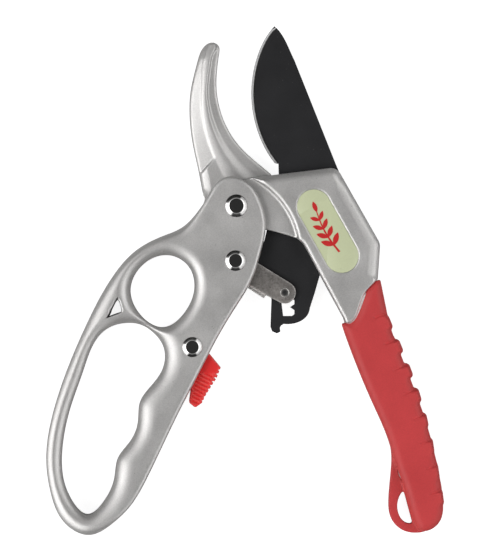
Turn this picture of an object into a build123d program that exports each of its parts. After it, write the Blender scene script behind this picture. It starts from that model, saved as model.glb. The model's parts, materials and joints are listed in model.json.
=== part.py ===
from build123d import *
import os
from math import atan2, cos, degrees, hypot, pi, radians, sin

# Ratchet pruning shears lying flat on their back, jaws towards +Y, millimetres.
# X runs across the open handles, Y along the tool, Z up from the surface it rests on.

# ---------------------------------------------------------------- driving dimensions
THICK = 16.0              # over the two cheeks of the finger handle
MID = THICK / 2           # height of the blade's middle plane

HANDLE_PIVOT = (-3.54, 29.8)     # finger handle on the casting
BLADE_PIVOT = (19.4, 31.0)       # blade in the casting's slot
LINK_PIVOT = (-3.9, 7.92)        # ratchet link in the finger handle
LINK_PIN = (15.82, -4.84)        # free end of the link, in the blade's rack
LATCH_PIVOT = (-21.14, -26.56)   # latch lever in the finger handle

HANDLE_TURN = 40.0        # degrees from open to closed
BLADE_TURN = 18.0
LATCH_TURN = 25.0

BLADE_T = 2.6             # blade stock
WASHER_T = 0.3            # between blade and casting, and between casting and cheeks
PLATE_T = 2.8             # each wall of the casting's head
CHEEK_T = 3.3             # each cheek of the finger handle
PANEL_RISE = 2.8          # the raised panel stands this far above the head's walls
RUNNING_FIT = 0.05        # radial clearance of a turning pin

BOW_T = 10.0              # thickness of the handle's bow
LINK_T = 1.5              # sheet of the ratchet link
LINK_INSIDE = 3.4         # between the link's two walls

RIVET_R = 2.5             # handle rivet shank
SMALL_RIVET_R = 2.0       # link and latch rivet shanks
BLADE_PIN_R = 2.5
PIN_HEAD_R, PIN_HEAD_T = 3.3, 1.6
PIN_TOP = 12.0            # the blade pin's bore ends blind under the panel
LINK_PIN_R = 1.35
BUSH_WALL = 1.1
DOME_H = 1.3              # rivet heads stand this far above the cheek

# name: pivot, shank radius, head radius
RIVETS = {"handle_rivet": (HANDLE_PIVOT, RIVET_R, 4.6),
          "link_rivet": (LINK_PIVOT, SMALL_RIVET_R, 4.2),
          "latch_rivet": (LATCH_PIVOT, SMALL_RIVET_R, 4.1)}

# ---------------------------------------------------------------- levels, bottom to top
BLADE_LOW = MID - BLADE_T / 2
BLADE_TOP = MID + BLADE_T / 2
GAP_LOW = BLADE_LOW - WASHER_T        # the blade slot of the casting
GAP_TOP = BLADE_TOP + WASHER_T
HEAD_LOW = GAP_LOW - PLATE_T          # outside of the casting's thin walls
HEAD_TOP = GAP_TOP + PLATE_T
PANEL_LOW = HEAD_LOW - PANEL_RISE     # outside of the raised panels
PANEL_TOP = HEAD_TOP + PANEL_RISE
FORK_LOW = CHEEK_T                    # inside faces of the handle's fork
FORK_TOP = THICK - CHEEK_T


# ---------------------------------------------------------------- helpers
def slab(edges, low, top):
    """Solid between two heights whose outline is a closed run of edges."""
    return extrude(Pos(0, 0, low) * make_face(edges), amount=top - low)


def disc(centre, radius, low, top):
    """Upright cylinder on a pivot."""
    return Pos(centre[0], centre[1], low) * Cylinder(
        radius, top - low, align=(Align.CENTER, Align.CENTER, Align.MIN)
    )


def ring(centre, outer, inner, low, top):
    """Upright washer or bush on a pivot."""
    return disc(centre, outer, low, top) - disc(centre, inner, low - 1, top + 1)


def around(centre, radius, angle):
    """Point on a circle, the angle in degrees from +X."""
    return (centre[0] + radius * cos(radians(angle)), centre[1] + radius * sin(radians(angle)))


def edges_at(solid, height):
    """Edges lying flat at one height."""
    return [e for e in solid.edges() if abs(e.bounding_box().min.Z - height) < 1e-3
            and abs(e.bounding_box().max.Z - height) < 1e-3]


def beside(points, distance):
    """The run of points moved sideways, positive to the left of its direction."""
    moved = []
    for i, (x, y) in enumerate(points):
        (x0, y0), (x1, y1) = points[max(i - 1, 0)], points[min(i + 1, len(points) - 1)]
        length = hypot(x1 - x0, y1 - y0)
        aside = distance[i] if isinstance(distance, list) else distance
        moved.append((x - aside * (y1 - y0) / length, y + aside * (x1 - x0) / length))
    return moved


def turned(solid, centre, angle):
    """The solid turned about an upright pivot."""
    return Pos(centre[0], centre[1], 0) * Rot(0, 0, angle) * Pos(-centre[0], -centre[1], 0) * solid


def write(solid, name):
    """One STEP file, named as the piece."""
    export_step(solid, f"parts/{name}.step")


# ---------------------------------------------------------------- finger handle (cast fork)
HANDLE_OUTLINE = [(-4.9, 41.5), (2.5, 37.6), (6.3, 31.0), (8.1, 20.5), (6.5, 12.3), (2.5, 0.0),
                  (-4.0, -11.0), (-11.6, -23.8), (-19.0, -38.1), (-26.5, -52.6), (-38.8, -78.2),
                  (-46.6, -91.0), (-53.4, -97.4), (-62.1, -101.8), (-71.9, -97.4), (-78.0, -84.6),
                  (-79.7, -70.5), (-77.7, -55.8), (-71.7, -36.6), (-63.5, -17.4), (-52.9, 1.8),
                  (-44.5, 11.4), (-33.0, 17.8), (-25.6, 21.0), (-18.8, 27.8), (-14.6, 34.2),
                  (-10.9, 39.6)]
FINGER_HOLE = [(-32.1, 10.2), (-42.4, 5.0), (-46.0, -3.0), (-43.9, -11.2), (-32.9, -18.7),
               (-23.1, -11.0), (-20.4, -3.0), (-22.4, 5.2)]
LOOP_HOLE = [(-47.7, -17.0), (-59.0, -22.6), (-65.1, -36.6), (-69.6, -49.4), (-72.7, -62.2),
             (-73.5, -75.0), (-70.2, -87.0), (-63.3, -93.8), (-56.3, -87.8), (-52.3, -78.2),
             (-51.1, -71.2), (-46.6, -65.0), (-43.0, -56.5), (-42.2, -48.6), (-38.5, -43.0),
             (-33.4, -36.0), (-32.6, -27.0), (-37.5, -20.2)]
WEB_HOLE = [(-50.9, -6.4), (-54.7, -14.0), (-49.2, -12.4)]     # small lightening triangle
EDGE_ROUND = 1.2                                # outer edges of the handle
OUTLINE_LONG = 200.0                            # only the outline's own edges are longer than this
BOW_LINE = ((-52.0, 12.0), (-60.0, -108.0))     # the bow is thinner left of this line
BOW_RAMP = 9.0                                  # width of the slope down to the bow
HEAD_SWEEP = 14.0                               # the casting's round end turns inside this
LATCH_HUB_R = 5.4
COUNTERBORE = 1.2                               # recess for each rivet's spread tail
COLLAR_WIDE = 1.6                               # the recess is this much wider than the shank


def closed_curve(points):
    return [Spline(*points, periodic=True)]


def bow_relief(low_side):
    """Wedge along the bow that thins it from one face, sloping down over BOW_RAMP."""
    (x0, y0), (x1, y1) = BOW_LINE
    depth = (THICK - BOW_T) / 2
    face = 0.0 if low_side else THICK
    sign = 1 if low_side else -1
    across = [(0, -sign), (0, 0), (-BOW_RAMP, sign * depth), (-60, sign * depth), (-60, -sign)]
    start = Plane(origin=(x0, y0, face), x_dir=(y0 - y1, x1 - x0, 0), z_dir=(x1 - x0, y1 - y0, 0))
    return extrude(start * make_face(Polyline(*across, close=True)), amount=hypot(x1 - x0, y1 - y0))


def fork_slot():
    """Space between the cheeks: the casting's end, the link, the blade's tail and the latch."""
    left = around(HANDLE_PIVOT, HEAD_SWEEP, 150)
    start = around(HANDLE_PIVOT, HEAD_SWEEP, 200)
    end = around(HANDLE_PIVOT, HEAD_SWEEP, 244)
    room = LATCH_HUB_R + 0.8
    latch_top = around(LATCH_PIVOT, room, 80)
    latch_side = around(LATCH_PIVOT, room, 185)
    edges = [Line((-30, 50), left),
             ThreePointArc(left, around(HANDLE_PIVOT, HEAD_SWEEP, 175), start),
             ThreePointArc(start, around(HANDLE_PIVOT, HEAD_SWEEP, 222), end),
             Polyline(end, (-12.4, 2.5), (-13.6, -14.0), latch_top),
             ThreePointArc(latch_top, around(LATCH_PIVOT, room, 140), latch_side),
             Polyline(latch_side, (-27.0, -40.0), (-33.0, -56.0), (-44.0, -79.0), (-36.0, -80.0),
                      (20.0, -20.0), (20.0, 50.0), (-30, 50))]
    return slab(edges, FORK_LOW, FORK_TOP)


def finger_handle():
    solid = slab(closed_curve(HANDLE_OUTLINE), 0, THICK) - fork_slot()
    for centre, radius, _ in RIVETS.values():
        solid -= disc(centre, radius, -1, THICK + 1)
        solid -= disc(centre, radius + COLLAR_WIDE, -1, COUNTERBORE)
    outside = [e for e in edges_at(solid, 0) + edges_at(solid, THICK) if e.length > OUTLINE_LONG]
    solid = fillet(outside, EDGE_ROUND)
    for points in (FINGER_HOLE, LOOP_HOLE):
        solid -= slab(closed_curve(points), -1, THICK + 1)
    triangle = make_face(Polyline(*WEB_HOLE, close=True))
    solid -= extrude(fillet(triangle.vertices(), 0.8), amount=THICK)
    for low_side in (True, False):
        solid -= bow_relief(low_side)
    return solid - spring_hole()


# ---------------------------------------------------------------- main casting
HOOK_OUTER = [(-10.3, 92.5), (-11.2, 94.9), (-13.6, 95.7), (-16.2, 94.4), (-19.4, 87.4), (-22.0, 76.0),
              (-22.4, 66.0), (-20.9, 53.6), (-18.6, 43.0), (-17.4, 36.6), (-16.8, 33.8)]
HOOK_INNER = [(12.0, 41.2), (5.6, 46.6), (-2.2, 53.8), (-7.1, 61.0), (-10.2, 69.0), (-11.6, 79.0),
              (-11.3, 85.0), (-10.3, 92.5)]
HOOK_RISE = 2.4           # the jaw's spine stands this far above its shearing face
# centre line of the rib along the jaw: x, y and half its width
SPINE_LINE = [(-13.2, 93.6, 1.7), (-16.4, 87.0, 2.5), (-18.0, 80.0, 2.9), (-18.8, 72.0, 3.0),
              (-18.6, 64.0, 3.2), (-17.2, 56.0, 3.6), (-15.2, 48.5, 3.4)]
CREST_NARROWER = 1.3      # on each side
HEAD_R = 11.3             # front wall round the handle pivot
HEAD_BACK_R = 13.2        # back wall round the handle pivot
CHEEK_CLEAR_R = 13.8      # the back of the jaw starts outside the turning cheek

PANEL_ARC = [(2.3, 41.1), (14.3, 31.6), (21.1, 16.6)]       # edge facing the handle
PANEL_KNEE = (23.3, 14.6)
PANEL_FOOT = (40.3, -17.0)
PANEL_CORNER = (36.6, 45.3)
PANEL_HIP = (54.0, 14.7)
PANEL_CORNER_R = 4.5
PANEL_ROUND = 2.4
PANEL_END = (53.0, 0.5)
CRESCENT = [(21.1, 16.6), (15.9, 18.4), (7.0, 20.6)]        # lower edge of the thin walls

BADGE_ENDS = ((27.4, 29.6), (38.5, 9.8))
BADGE_R = 6.7
BADGE_DEEP = 0.8
BADGE_T = 0.6

TANG_LOW, TANG_TOP = 1.6, 14.4
SLOT_WALL_X = 39.7        # closed side of the blade slot


def raised_panel():
    """Raised panels of both faces, down to where the tang begins, rounded on the outside."""
    face = make_face([ThreePointArc(*PANEL_ARC),
                      Polyline(PANEL_ARC[2], PANEL_KNEE, PANEL_FOOT),
                      Spline(PANEL_FOOT, (45.0, -11.5), (47.6, -5.0), PANEL_END,
                             tangents=[(1, 0.15), (1, 0.9)]),
                      Polyline(PANEL_END, PANEL_HIP, PANEL_CORNER, PANEL_ARC[0])])
    face = fillet([v for v in face.vertices() if v.X > 36 and v.Y > 8], PANEL_CORNER_R)
    solid = extrude(Pos(0, 0, PANEL_LOW) * face, amount=PANEL_TOP - PANEL_LOW)
    outer = [e for e in edges_at(solid, PANEL_TOP) + edges_at(solid, PANEL_LOW)
             if e.center().X > 36 and e.center().Y > 2 or e.center().Y > 41]
    return fillet(outer, PANEL_ROUND)


def thin_walls(low, top, head_radius):
    """Wall of the slotted head: round about the handle pivot, then out under the panel."""
    top_left = around(HANDLE_PIVOT, head_radius, 95)
    left = around(HANDLE_PIVOT, head_radius, 180)
    low_right = around(HANDLE_PIVOT, head_radius, 292)
    edges = [ThreePointArc(top_left, left, low_right),
             Line(low_right, CRESCENT[2]),
             ThreePointArc(CRESCENT[2], CRESCENT[1], CRESCENT[0]),
             Polyline(CRESCENT[0], (30.0, 20.0), (30.0, 42.0), PANEL_ARC[0], top_left)]
    return slab(edges, low, top)


def hook():
    """Fixed jaw: flat shearing face under the blade, a raised spine along its outside."""
    edges = [Spline(*HOOK_OUTER), Polyline(HOOK_OUTER[-1], (-12.0, 22.0), (4.0, 20.0), (12.0, 30.0),
                                           HOOK_INNER[0]),
             Spline(*HOOK_INNER)]
    jaw = slab(edges, PANEL_LOW, GAP_LOW)
    jaw -= disc(HANDLE_PIVOT, CHEEK_CLEAR_R, -1, HEAD_LOW)
    jaw -= slab([Polyline((-30, 34), (-14, 38), PANEL_ARC[0], PANEL_ARC[1], (30, 16), (-30, 0), close=True)],
                -1, HEAD_LOW)
    return jaw + hook_spine()


def hook_spine():
    """Raised rib along the outside of the jaw, wider at its foot than at its crest."""
    line = [(x, y) for x, y, _ in SPINE_LINE]

    def outline(shrink):
        left = beside(line, [half - shrink for _, _, half in SPINE_LINE])
        right = beside(line, [shrink - half for _, _, half in SPINE_LINE])
        return make_face(Polyline(*left, *reversed(right), close=True))

    foot = Pos(0, 0, GAP_LOW) * outline(0.0)
    crest = Pos(0, 0, GAP_LOW + HOOK_RISE) * outline(CREST_NARROWER)
    return loft([foot, crest], ruled=True)


def tang():
    edges = Polyline((37.0, -8.0), (41.4, -22.0), (59.0, -66.0), (61.5, -78.0), (70.0, -93.0),
                     (75.0, -93.0), (76.0, -84.0), (72.0, -62.0), (55.2, -17.0), (52.6, -3.0),
                     close=True)
    solid = slab([edges], TANG_LOW, TANG_TOP)
    return fillet(edges_at(solid, TANG_LOW) + edges_at(solid, TANG_TOP), 2.0)


def blade_slot():
    """Slot the blade turns in: open towards the jaws and the handle."""
    edges = Polyline((-40, 22), (-12, 44), (-12, 120), (60, 120), (41.2, 42.6), (38.6, 36.0),
                     (34.5, 30.0), (SLOT_WALL_X, 20.0), (SLOT_WALL_X, -16.5), (30, -30), (-40, -30),
                     close=True)
    return slab([edges], GAP_LOW, GAP_TOP)


def stadium(radius, low, top):
    (x0, y0), (x1, y1) = BADGE_ENDS
    length = hypot(x1 - x0, y1 - y0)
    middle = Pos((x0 + x1) / 2, (y0 + y1) / 2, low) * Rot(0, 0, degrees(atan2(y1 - y0, x1 - x0)))
    return middle * extrude(SlotCenterToCenter(length, 2 * radius), amount=top - low)


def main_casting():
    solid = raised_panel() + thin_walls(GAP_TOP, HEAD_TOP, HEAD_R)
    solid += thin_walls(HEAD_LOW, GAP_LOW, HEAD_BACK_R) + tang()
    solid = solid - blade_slot() + hook()
    solid -= stadium(BADGE_R + 0.1, PANEL_TOP - BADGE_DEEP, PANEL_TOP + 1)
    solid -= disc(HANDLE_PIVOT, RIVET_R + RUNNING_FIT + BUSH_WALL, -1, THICK + 1)
    solid -= disc(BLADE_PIVOT, BLADE_PIN_R, -1, PIN_TOP)
    solid -= disc(BLADE_PIVOT, PIN_HEAD_R, -1, PANEL_LOW + PIN_HEAD_T)
    return solid + disc(POST, POST_R, GAP_LOW, GAP_TOP)


# ---------------------------------------------------------------- grip sleeve
GRIP_OUTLINE = [(38.6, -17.3), (43.2, -30.2), (51.2, -49.4), (57.4, -64.0), (60.4, -74.0), (64.2, -85.0),
                (67.8, -96.6), (70.6, -100.0), (74.4, -99.4), (78.2, -95.4), (79.0, -88.0),
                (77.4, -76.0), (73.2, -59.0), (66.0, -39.0), (57.6, -17.2)]
GRIP_TIP = (54.0, 0.4)
GRIP_LOW, GRIP_TOP = 0.4, 15.6
LOOP_OUTER = [(57.2, -63.0), (58.4, -76.0), (57.4, -88.0), (58.6, -95.6), (62.8, -99.8), (68.0, -101.0),
              (72.0, -100.4)]
LOOP_BAND = [(63.4, -83.9), (61.0, -88.6), (61.4, -93.4), (64.0, -96.8), (67.0, -97.2)]
LOOP_LOW, LOOP_TOP = 5.0, 11.0
BUMPS = 8
FIRST_BUMP = (58.4, -16.6)
LAST_BUMP = (79.3, -86.0)
BUMP_BOW = 2.8            # the row of bumps bows outwards by this much
BUMP_LONG, BUMP_IN, BUMP_ROUND = 6.0, 6.5, 1.3


def grip_bumps():
    """Row of thumb bumps along the outside of the grip, a constant pitch apart."""
    (x0, y0), (x1, y1) = FIRST_BUMP, LAST_BUMP
    lean = degrees(atan2(y1 - y0, x1 - x0))
    swing = degrees(atan2(pi * BUMP_BOW, hypot(x1 - x0, y1 - y0)))
    bump = Box(BUMP_LONG, BUMP_IN, THICK)
    bump = fillet(bump.edges(), BUMP_ROUND)
    row = Part()
    for i in range(BUMPS):
        along = i / (BUMPS - 1)
        out = BUMP_BOW * sin(pi * along) - BUMP_IN / 2
        x = x0 + (x1 - x0) * along - out * sin(radians(lean))
        y = y0 + (y1 - y0) * along + out * cos(radians(lean))
        row += Pos(x, y, MID) * Rot(0, 0, lean + swing * cos(pi * along)) * bump
    return row


def grip_sleeve(casting):
    edges = [Spline(*GRIP_OUTLINE), Line(GRIP_OUTLINE[-1], GRIP_TIP),
             Spline(GRIP_TIP, (47.6, -5.6), (44.6, -13.0), GRIP_OUTLINE[0])]
    body = slab(edges, GRIP_LOW, GRIP_TOP)
    loop = slab([Spline(*LOOP_OUTER), Polyline(LOOP_OUTER[-1], (72.0, -90.0), (62.0, -66.0), LOOP_OUTER[0])],
                LOOP_LOW, LOOP_TOP)
    gap = slab([Spline(*LOOP_BAND), Line(LOOP_BAND[-1], LOOP_BAND[0])], LOOP_LOW - 1, LOOP_TOP + 1)
    return body + grip_bumps() + (loop - gap) - casting


# ---------------------------------------------------------------- blade
EDGE = [(11.9, 47.0), (8.7, 51.6), (4.6, 61.0), (2.6, 71.0), (2.6, 79.0), (4.8, 89.8), (8.2, 97.4),
        (11.7, 102.0)]
SPINE = [(11.7, 102.0), (14.2, 99.2), (16.8, 94.6), (19.8, 88.0)]
SHOULDER = [(19.8, 88.0), (36.3, 46.6), (38.4, 41.6), (36.4, 36.8), (31.0, 30.0), (30.2, 15.0),
            (29.9, 2.2), (27.9, -4.8), (25.9, -11.0)]
TAIL_END = [(25.9, -11.0), (24.0, -15.0), (20.0, -17.1), (15.4, -17.4)]
FOOT = [(15.4, -17.4), (14.3, -18.1), (13.9, -19.0), (14.1, -20.5), (12.7, -21.2), (10.8, -20.4), (10.1, -18.6)]
TAIL_LEFT = [(10.1, -18.6), (10.5, -7.6), (9.6, -1.6), (6.1, 5.3), (4.6, 7.6), (5.2, 11.3), (7.7, 16.2),
             (8.6, 20.0)]
HUB_LEFT = [(8.6, 20.0), (10.6, 30.0), (13.4, 42.0)]
GRIND_WIDE = 1.3          # ground strip along the cutting edge
EDGE_LEFT = 0.25          # the cutting edge is this thick

RACK_LEFT = [(15.2, -14.2), (14.3, -7.0), (14.0, -2.6), (14.9, -1.7), (17.0, -1.7)]
NOTCHES = 3
NOTCH_PITCH = 4.0
FIRST_NOTCH_Y = -4.6
NOTCH_TIP_X, NOTCH_ROOT_X = 17.95, 19.7


def rack_window():
    """Window in the blade's tail with a notch for each step of the ratchet."""
    right = []
    for i in range(NOTCHES):
        y = FIRST_NOTCH_Y - i * NOTCH_PITCH
        right += [(NOTCH_TIP_X, y + 1.9), (NOTCH_ROOT_X, y + 0.7), (NOTCH_ROOT_X, y - 0.9)]
    right.append((NOTCH_TIP_X + 0.8, FIRST_NOTCH_Y - (NOTCHES - 1) * NOTCH_PITCH - 1.6))
    window = Polyline(*RACK_LEFT, *right, close=True)
    return slab([window], BLADE_LOW - 1, BLADE_TOP + 1)


def blade():
    edges = [Spline(*EDGE), Spline(*SPINE), Polyline(*SHOULDER), Spline(*TAIL_END), Polyline(*FOOT),
             Polyline(*TAIL_LEFT), Polyline(*HUB_LEFT), Polyline(HUB_LEFT[-1], (13.3, 46.8), EDGE[0])]
    solid = slab(edges, BLADE_LOW, BLADE_TOP)
    solid = solid - disc(BLADE_PIVOT, BLADE_PIN_R + BUSH_WALL, 0, THICK) - rack_window()
    return solid - grind()


def grind():
    """Wedge ground off the front along the whole cutting edge."""
    levels = []
    for height, inwards in ((BLADE_LOW + EDGE_LEFT, 0.0), (BLADE_TOP + 0.01, GRIND_WIDE)):
        line = beside(EDGE, -inwards)
        far = [(line[-1][0] - 3.0, 106.0), (-12.0, 106.0), (-12.0, 44.0), (line[0][0] - 2.0, 44.0)]
        levels.append(Pos(0, 0, height) * make_face([Spline(*line), Polyline(line[-1], *far, line[0])]))
    return loft(levels, ruled=True)


# ---------------------------------------------------------------- ratchet link
LINK_END_R = 4.4
LINK_LOW = MID - LINK_INSIDE / 2 - LINK_T
LINK_TOP = MID + LINK_INSIDE / 2 + LINK_T
WEB_FROM, WEB_TO = 5.8, 13.4      # the folded web, measured back from the link pin
WEB_IN, WEB_OUT = 4.9, 6.5        # and out from the link's centre line


def on_link(along, out):
    """Point measured back from the link pin along the link, and out towards its lower side."""
    dx, dy = LINK_PIVOT[0] - LINK_PIN[0], LINK_PIVOT[1] - LINK_PIN[1]
    length = hypot(dx, dy)
    ux, uy = dx / length, dy / length
    return (LINK_PIN[0] + along * ux - out * uy, LINK_PIN[1] + along * uy + out * ux)


def ratchet_link():
    """Two walls joined by a folded web along their lower edge."""
    length = hypot(LINK_PIVOT[0] - LINK_PIN[0], LINK_PIVOT[1] - LINK_PIN[1])
    side = Polyline(on_link(0, -LINK_END_R), on_link(length, -3.9), on_link(length, LINK_END_R),
                    on_link(WEB_TO + 1.2, WEB_IN + 0.1), on_link(WEB_FROM, WEB_IN + 0.1),
                    on_link(0, LINK_END_R), close=True)
    solid = Part()
    for low in (LINK_LOW, LINK_TOP - LINK_T):
        solid += slab([side], low, low + LINK_T) + disc(LINK_PIN, LINK_END_R, low, low + LINK_T)
        solid += disc(LINK_PIVOT, LINK_END_R - 0.5, low, low + LINK_T)
    web = Polyline(on_link(WEB_FROM, WEB_IN), on_link(WEB_TO, WEB_IN), on_link(WEB_TO, WEB_OUT),
                   on_link(WEB_FROM, WEB_OUT), close=True)
    solid += slab([web], LINK_LOW + 0.4, LINK_TOP - 0.4)
    return (solid - disc(LINK_PIVOT, SMALL_RIVET_R + RUNNING_FIT, 0, THICK)
            - disc(LINK_PIN, LINK_PIN_R, 0, THICK))


def link_pin():
    """Pin across the link, a low head at each end."""
    head_r, head_t = 2.0, 0.4
    pin = disc(LINK_PIN, LINK_PIN_R, LINK_LOW - head_t, LINK_TOP + head_t)
    pin += disc(LINK_PIN, head_r, LINK_LOW - head_t, LINK_LOW)
    return pin + disc(LINK_PIN, head_r, LINK_TOP, LINK_TOP + head_t)


# ---------------------------------------------------------------- latch lever
LATCH_T = 8.2
LATCH_LOW, LATCH_TOP = MID - LATCH_T / 2, MID + LATCH_T / 2
LATCH_OUTLINE = [(-15.9, -26.9), (-14.8, -28.8), (-9.8, -34.9), (-11.5, -39.2), (-13.4, -42.1),
                 (-16.1, -46.4), (-17.2, -48.9), (-20.0, -50.9), (-22.6, -48.8), (-21.9, -43.4),
                 (-20.8, -38.6), (-22.2, -34.0)]
RIBS = 9
RIB_TOP, RIB_BOTTOM = (-10.3, -36.0), (-17.0, -48.3)
RIB_DEEP, RIB_WIDE = 0.45, 0.7
RIB_LEAN = -30.0
FOOT_ROOM = 0.8           # clearance of the groove that takes the blade's foot


def foot_groove():
    """Groove across the latch's top that the blade's foot swings into when the tool is shut."""
    shut_tail = [*FOOT, (10.1, -14.0), (15.4, -14.0)]
    spots = []
    for x, y in shut_tail:
        shut = turn_point((x, y), BLADE_PIVOT, BLADE_TURN)
        spots.append(turn_point(shut, HANDLE_PIVOT, -HANDLE_TURN))
    room = offset(make_face(Polyline(*spots, close=True)), FOOT_ROOM)
    groove = extrude(Pos(0, 0, BLADE_LOW - 0.4) * room, amount=BLADE_T + 0.8)
    return turned(groove, LATCH_PIVOT, -LATCH_TURN)


def turn_point(point, centre, angle):
    """Point turned about a pivot, degrees anticlockwise."""
    radius = hypot(point[0] - centre[0], point[1] - centre[1])
    start = degrees(atan2(point[1] - centre[1], point[0] - centre[0]))
    return around(centre, radius, start + angle)


def latch_lever():
    hub = disc(LATCH_PIVOT, LATCH_HUB_R, LATCH_LOW, LATCH_TOP)
    arm = slab([Polyline(*LATCH_OUTLINE, close=True)], LATCH_LOW, LATCH_TOP)
    solid = hub + arm
    (x0, y0), (x1, y1) = RIB_TOP, RIB_BOTTOM
    for i in range(RIBS):
        along = i / (RIBS - 1)
        groove = Box(2 * RIB_DEEP, RIB_WIDE, LATCH_T + 1)
        solid -= Pos(x0 + (x1 - x0) * along, y0 + (y1 - y0) * along, MID) * Rot(0, 0, RIB_LEAN) * groove
    return solid - foot_groove() - disc(LATCH_PIVOT, SMALL_RIVET_R + RUNNING_FIT, 0, THICK)


# ---------------------------------------------------------------- rivets, pins, bushes, washers
def rivet(centre, shank, head):
    """Domed rivet from the front; its tail is flush in the back cheek."""
    ball = (head ** 2 + DOME_H ** 2) / (2 * DOME_H)
    dome = Pos(centre[0], centre[1], THICK + DOME_H - ball) * Sphere(ball)
    return disc(centre, shank, 0.2, THICK) + (dome & disc(centre, head, THICK, THICK + 2 * DOME_H))


def rivet_washers():
    group = Part()
    for centre, shank, _ in RIVETS.values():
        group += ring(centre, shank + COLLAR_WIDE, shank, 0.2, COUNTERBORE)
    return group


def blade_pin():
    """Headed pin let in from the back, with a driver slot."""
    pin = disc(BLADE_PIVOT, BLADE_PIN_R, PANEL_LOW, PIN_TOP)
    pin += disc(BLADE_PIVOT, PIN_HEAD_R, PANEL_LOW, PANEL_LOW + PIN_HEAD_T)
    return pin - Pos(BLADE_PIVOT[0], BLADE_PIVOT[1], PANEL_LOW) * Box(2 * PIN_HEAD_R, 0.9, 1.4)


def pair(centre, outer, inner, levels):
    """Two like washers on one pivot."""
    group = Part()
    for low, top in levels:
        group += ring(centre, outer, inner, low, top)
    return group


# ---------------------------------------------------------------- springs
def coil_path(centre, radius, pitch, turns, start_angle, low, legs):
    """Coil round a pivot with a straight leg running on from each end."""
    path = Helix(pitch=pitch, height=pitch * turns, radius=radius)
    first, last = legs
    run_in = Line(path @ 0 - (path % 0) * first, path @ 0)
    run_out = Line(path @ 1, path @ 1 + (path % 1) * last)
    place = Pos(centre[0], centre[1], low) * Rot(0, 0, start_angle)
    return place * Wire([*run_in.edges(), *path.edges(), *run_out.edges()])


def wire_along(path, wire):
    return sweep(Plane(origin=path @ 0, z_dir=path % 0) * Circle(wire / 2), path=path)


RETURN_WIRE, RETURN_R, RETURN_PITCH, RETURN_TURNS = 0.65, 4.6, 0.7, 2.43
RETURN_LOW = GAP_LOW + 0.68
RETURN_LEGS = (7.5, 13.9)
ANCHOR_ROOM = 0.15
POST = (2.35, 23.0)       # cast post the return spring bears on
POST_R = 0.9
LINK_WIRE, LINK_COIL_R, LINK_COIL_PITCH, LINK_COIL_TURNS = 0.45, 2.3, 0.55, 3.6


def return_path():
    return coil_path(HANDLE_PIVOT, RETURN_R, RETURN_PITCH, RETURN_TURNS, 0, RETURN_LOW, RETURN_LEGS)


def spring_hole():
    """Hole in the fork for the outer leg of the return spring."""
    path = return_path()
    along = path % 1
    start = Plane(origin=path @ 1 - along * 2.5, z_dir=along)
    return extrude(start * Circle(RETURN_WIRE / 2 + ANCHOR_ROOM), amount=3.0)


def link_spring():
    """Light torsion spring round the link rivet, between the link's walls."""
    low = MID - LINK_COIL_PITCH * LINK_COIL_TURNS / 2
    path = coil_path(LINK_PIVOT, LINK_COIL_R, LINK_COIL_PITCH, LINK_COIL_TURNS, 40, low, (4.5, 5.5))
    return wire_along(path, LINK_WIRE)


# ---------------------------------------------------------------- badge
def badge():
    return stadium(BADGE_R, PANEL_TOP - BADGE_DEEP, PANEL_TOP - BADGE_DEEP + BADGE_T)


# ---------------------------------------------------------------- write every piece
def main():
    os.makedirs("parts", exist_ok=True)
    casting = main_casting()
    write(casting, "main_casting")
    write(grip_sleeve(casting), "grip_sleeve")
    write(badge(), "badge")
    write(finger_handle(), "finger_handle")
    write(blade(), "blade")
    write(ratchet_link(), "ratchet_link")
    write(link_pin(), "link_pin")
    write(latch_lever(), "latch_lever")
    for name, (centre, shank, head) in RIVETS.items():
        write(rivet(centre, shank, head), name)
    write(rivet_washers(), "rivet_washers")
    write(blade_pin(), "blade_pin")
    write(ring(BLADE_PIVOT, BLADE_PIN_R + BUSH_WALL, BLADE_PIN_R + RUNNING_FIT, BLADE_LOW, BLADE_TOP),
          "blade_bush")
    write(pair(BLADE_PIVOT, 6.0, BLADE_PIN_R, ((GAP_LOW, BLADE_LOW), (BLADE_TOP, GAP_TOP))), "blade_washers")
    write(ring(HANDLE_PIVOT, RIVET_R + RUNNING_FIT + BUSH_WALL, RIVET_R + RUNNING_FIT, HEAD_LOW, HEAD_TOP),
          "handle_bush")
    write(pair(HANDLE_PIVOT, 6.5, RIVET_R, ((FORK_LOW, HEAD_LOW), (HEAD_TOP, FORK_TOP))), "handle_washers")
    write(pair(LINK_PIVOT, 3.5, SMALL_RIVET_R, ((FORK_LOW, LINK_LOW), (LINK_TOP, FORK_TOP))), "link_spacers")
    write(pair(LATCH_PIVOT, 4.8, SMALL_RIVET_R, ((FORK_LOW, LATCH_LOW), (LATCH_TOP, FORK_TOP))),
          "latch_washers")
    write(wire_along(return_path(), RETURN_WIRE), "return_spring")
    write(link_spring(), "link_spring")


if __name__ == "__main__":
    main()
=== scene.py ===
"""Looks of the ratchet pruning shears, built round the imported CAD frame."""

import json
import logging
import math
from collections.abc import Sequence
from dataclasses import dataclass
from enum import Enum

import bmesh
import bpy
import numpy as np
from mathutils import Matrix, Vector
from mathutils.kdtree import KDTree


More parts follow.
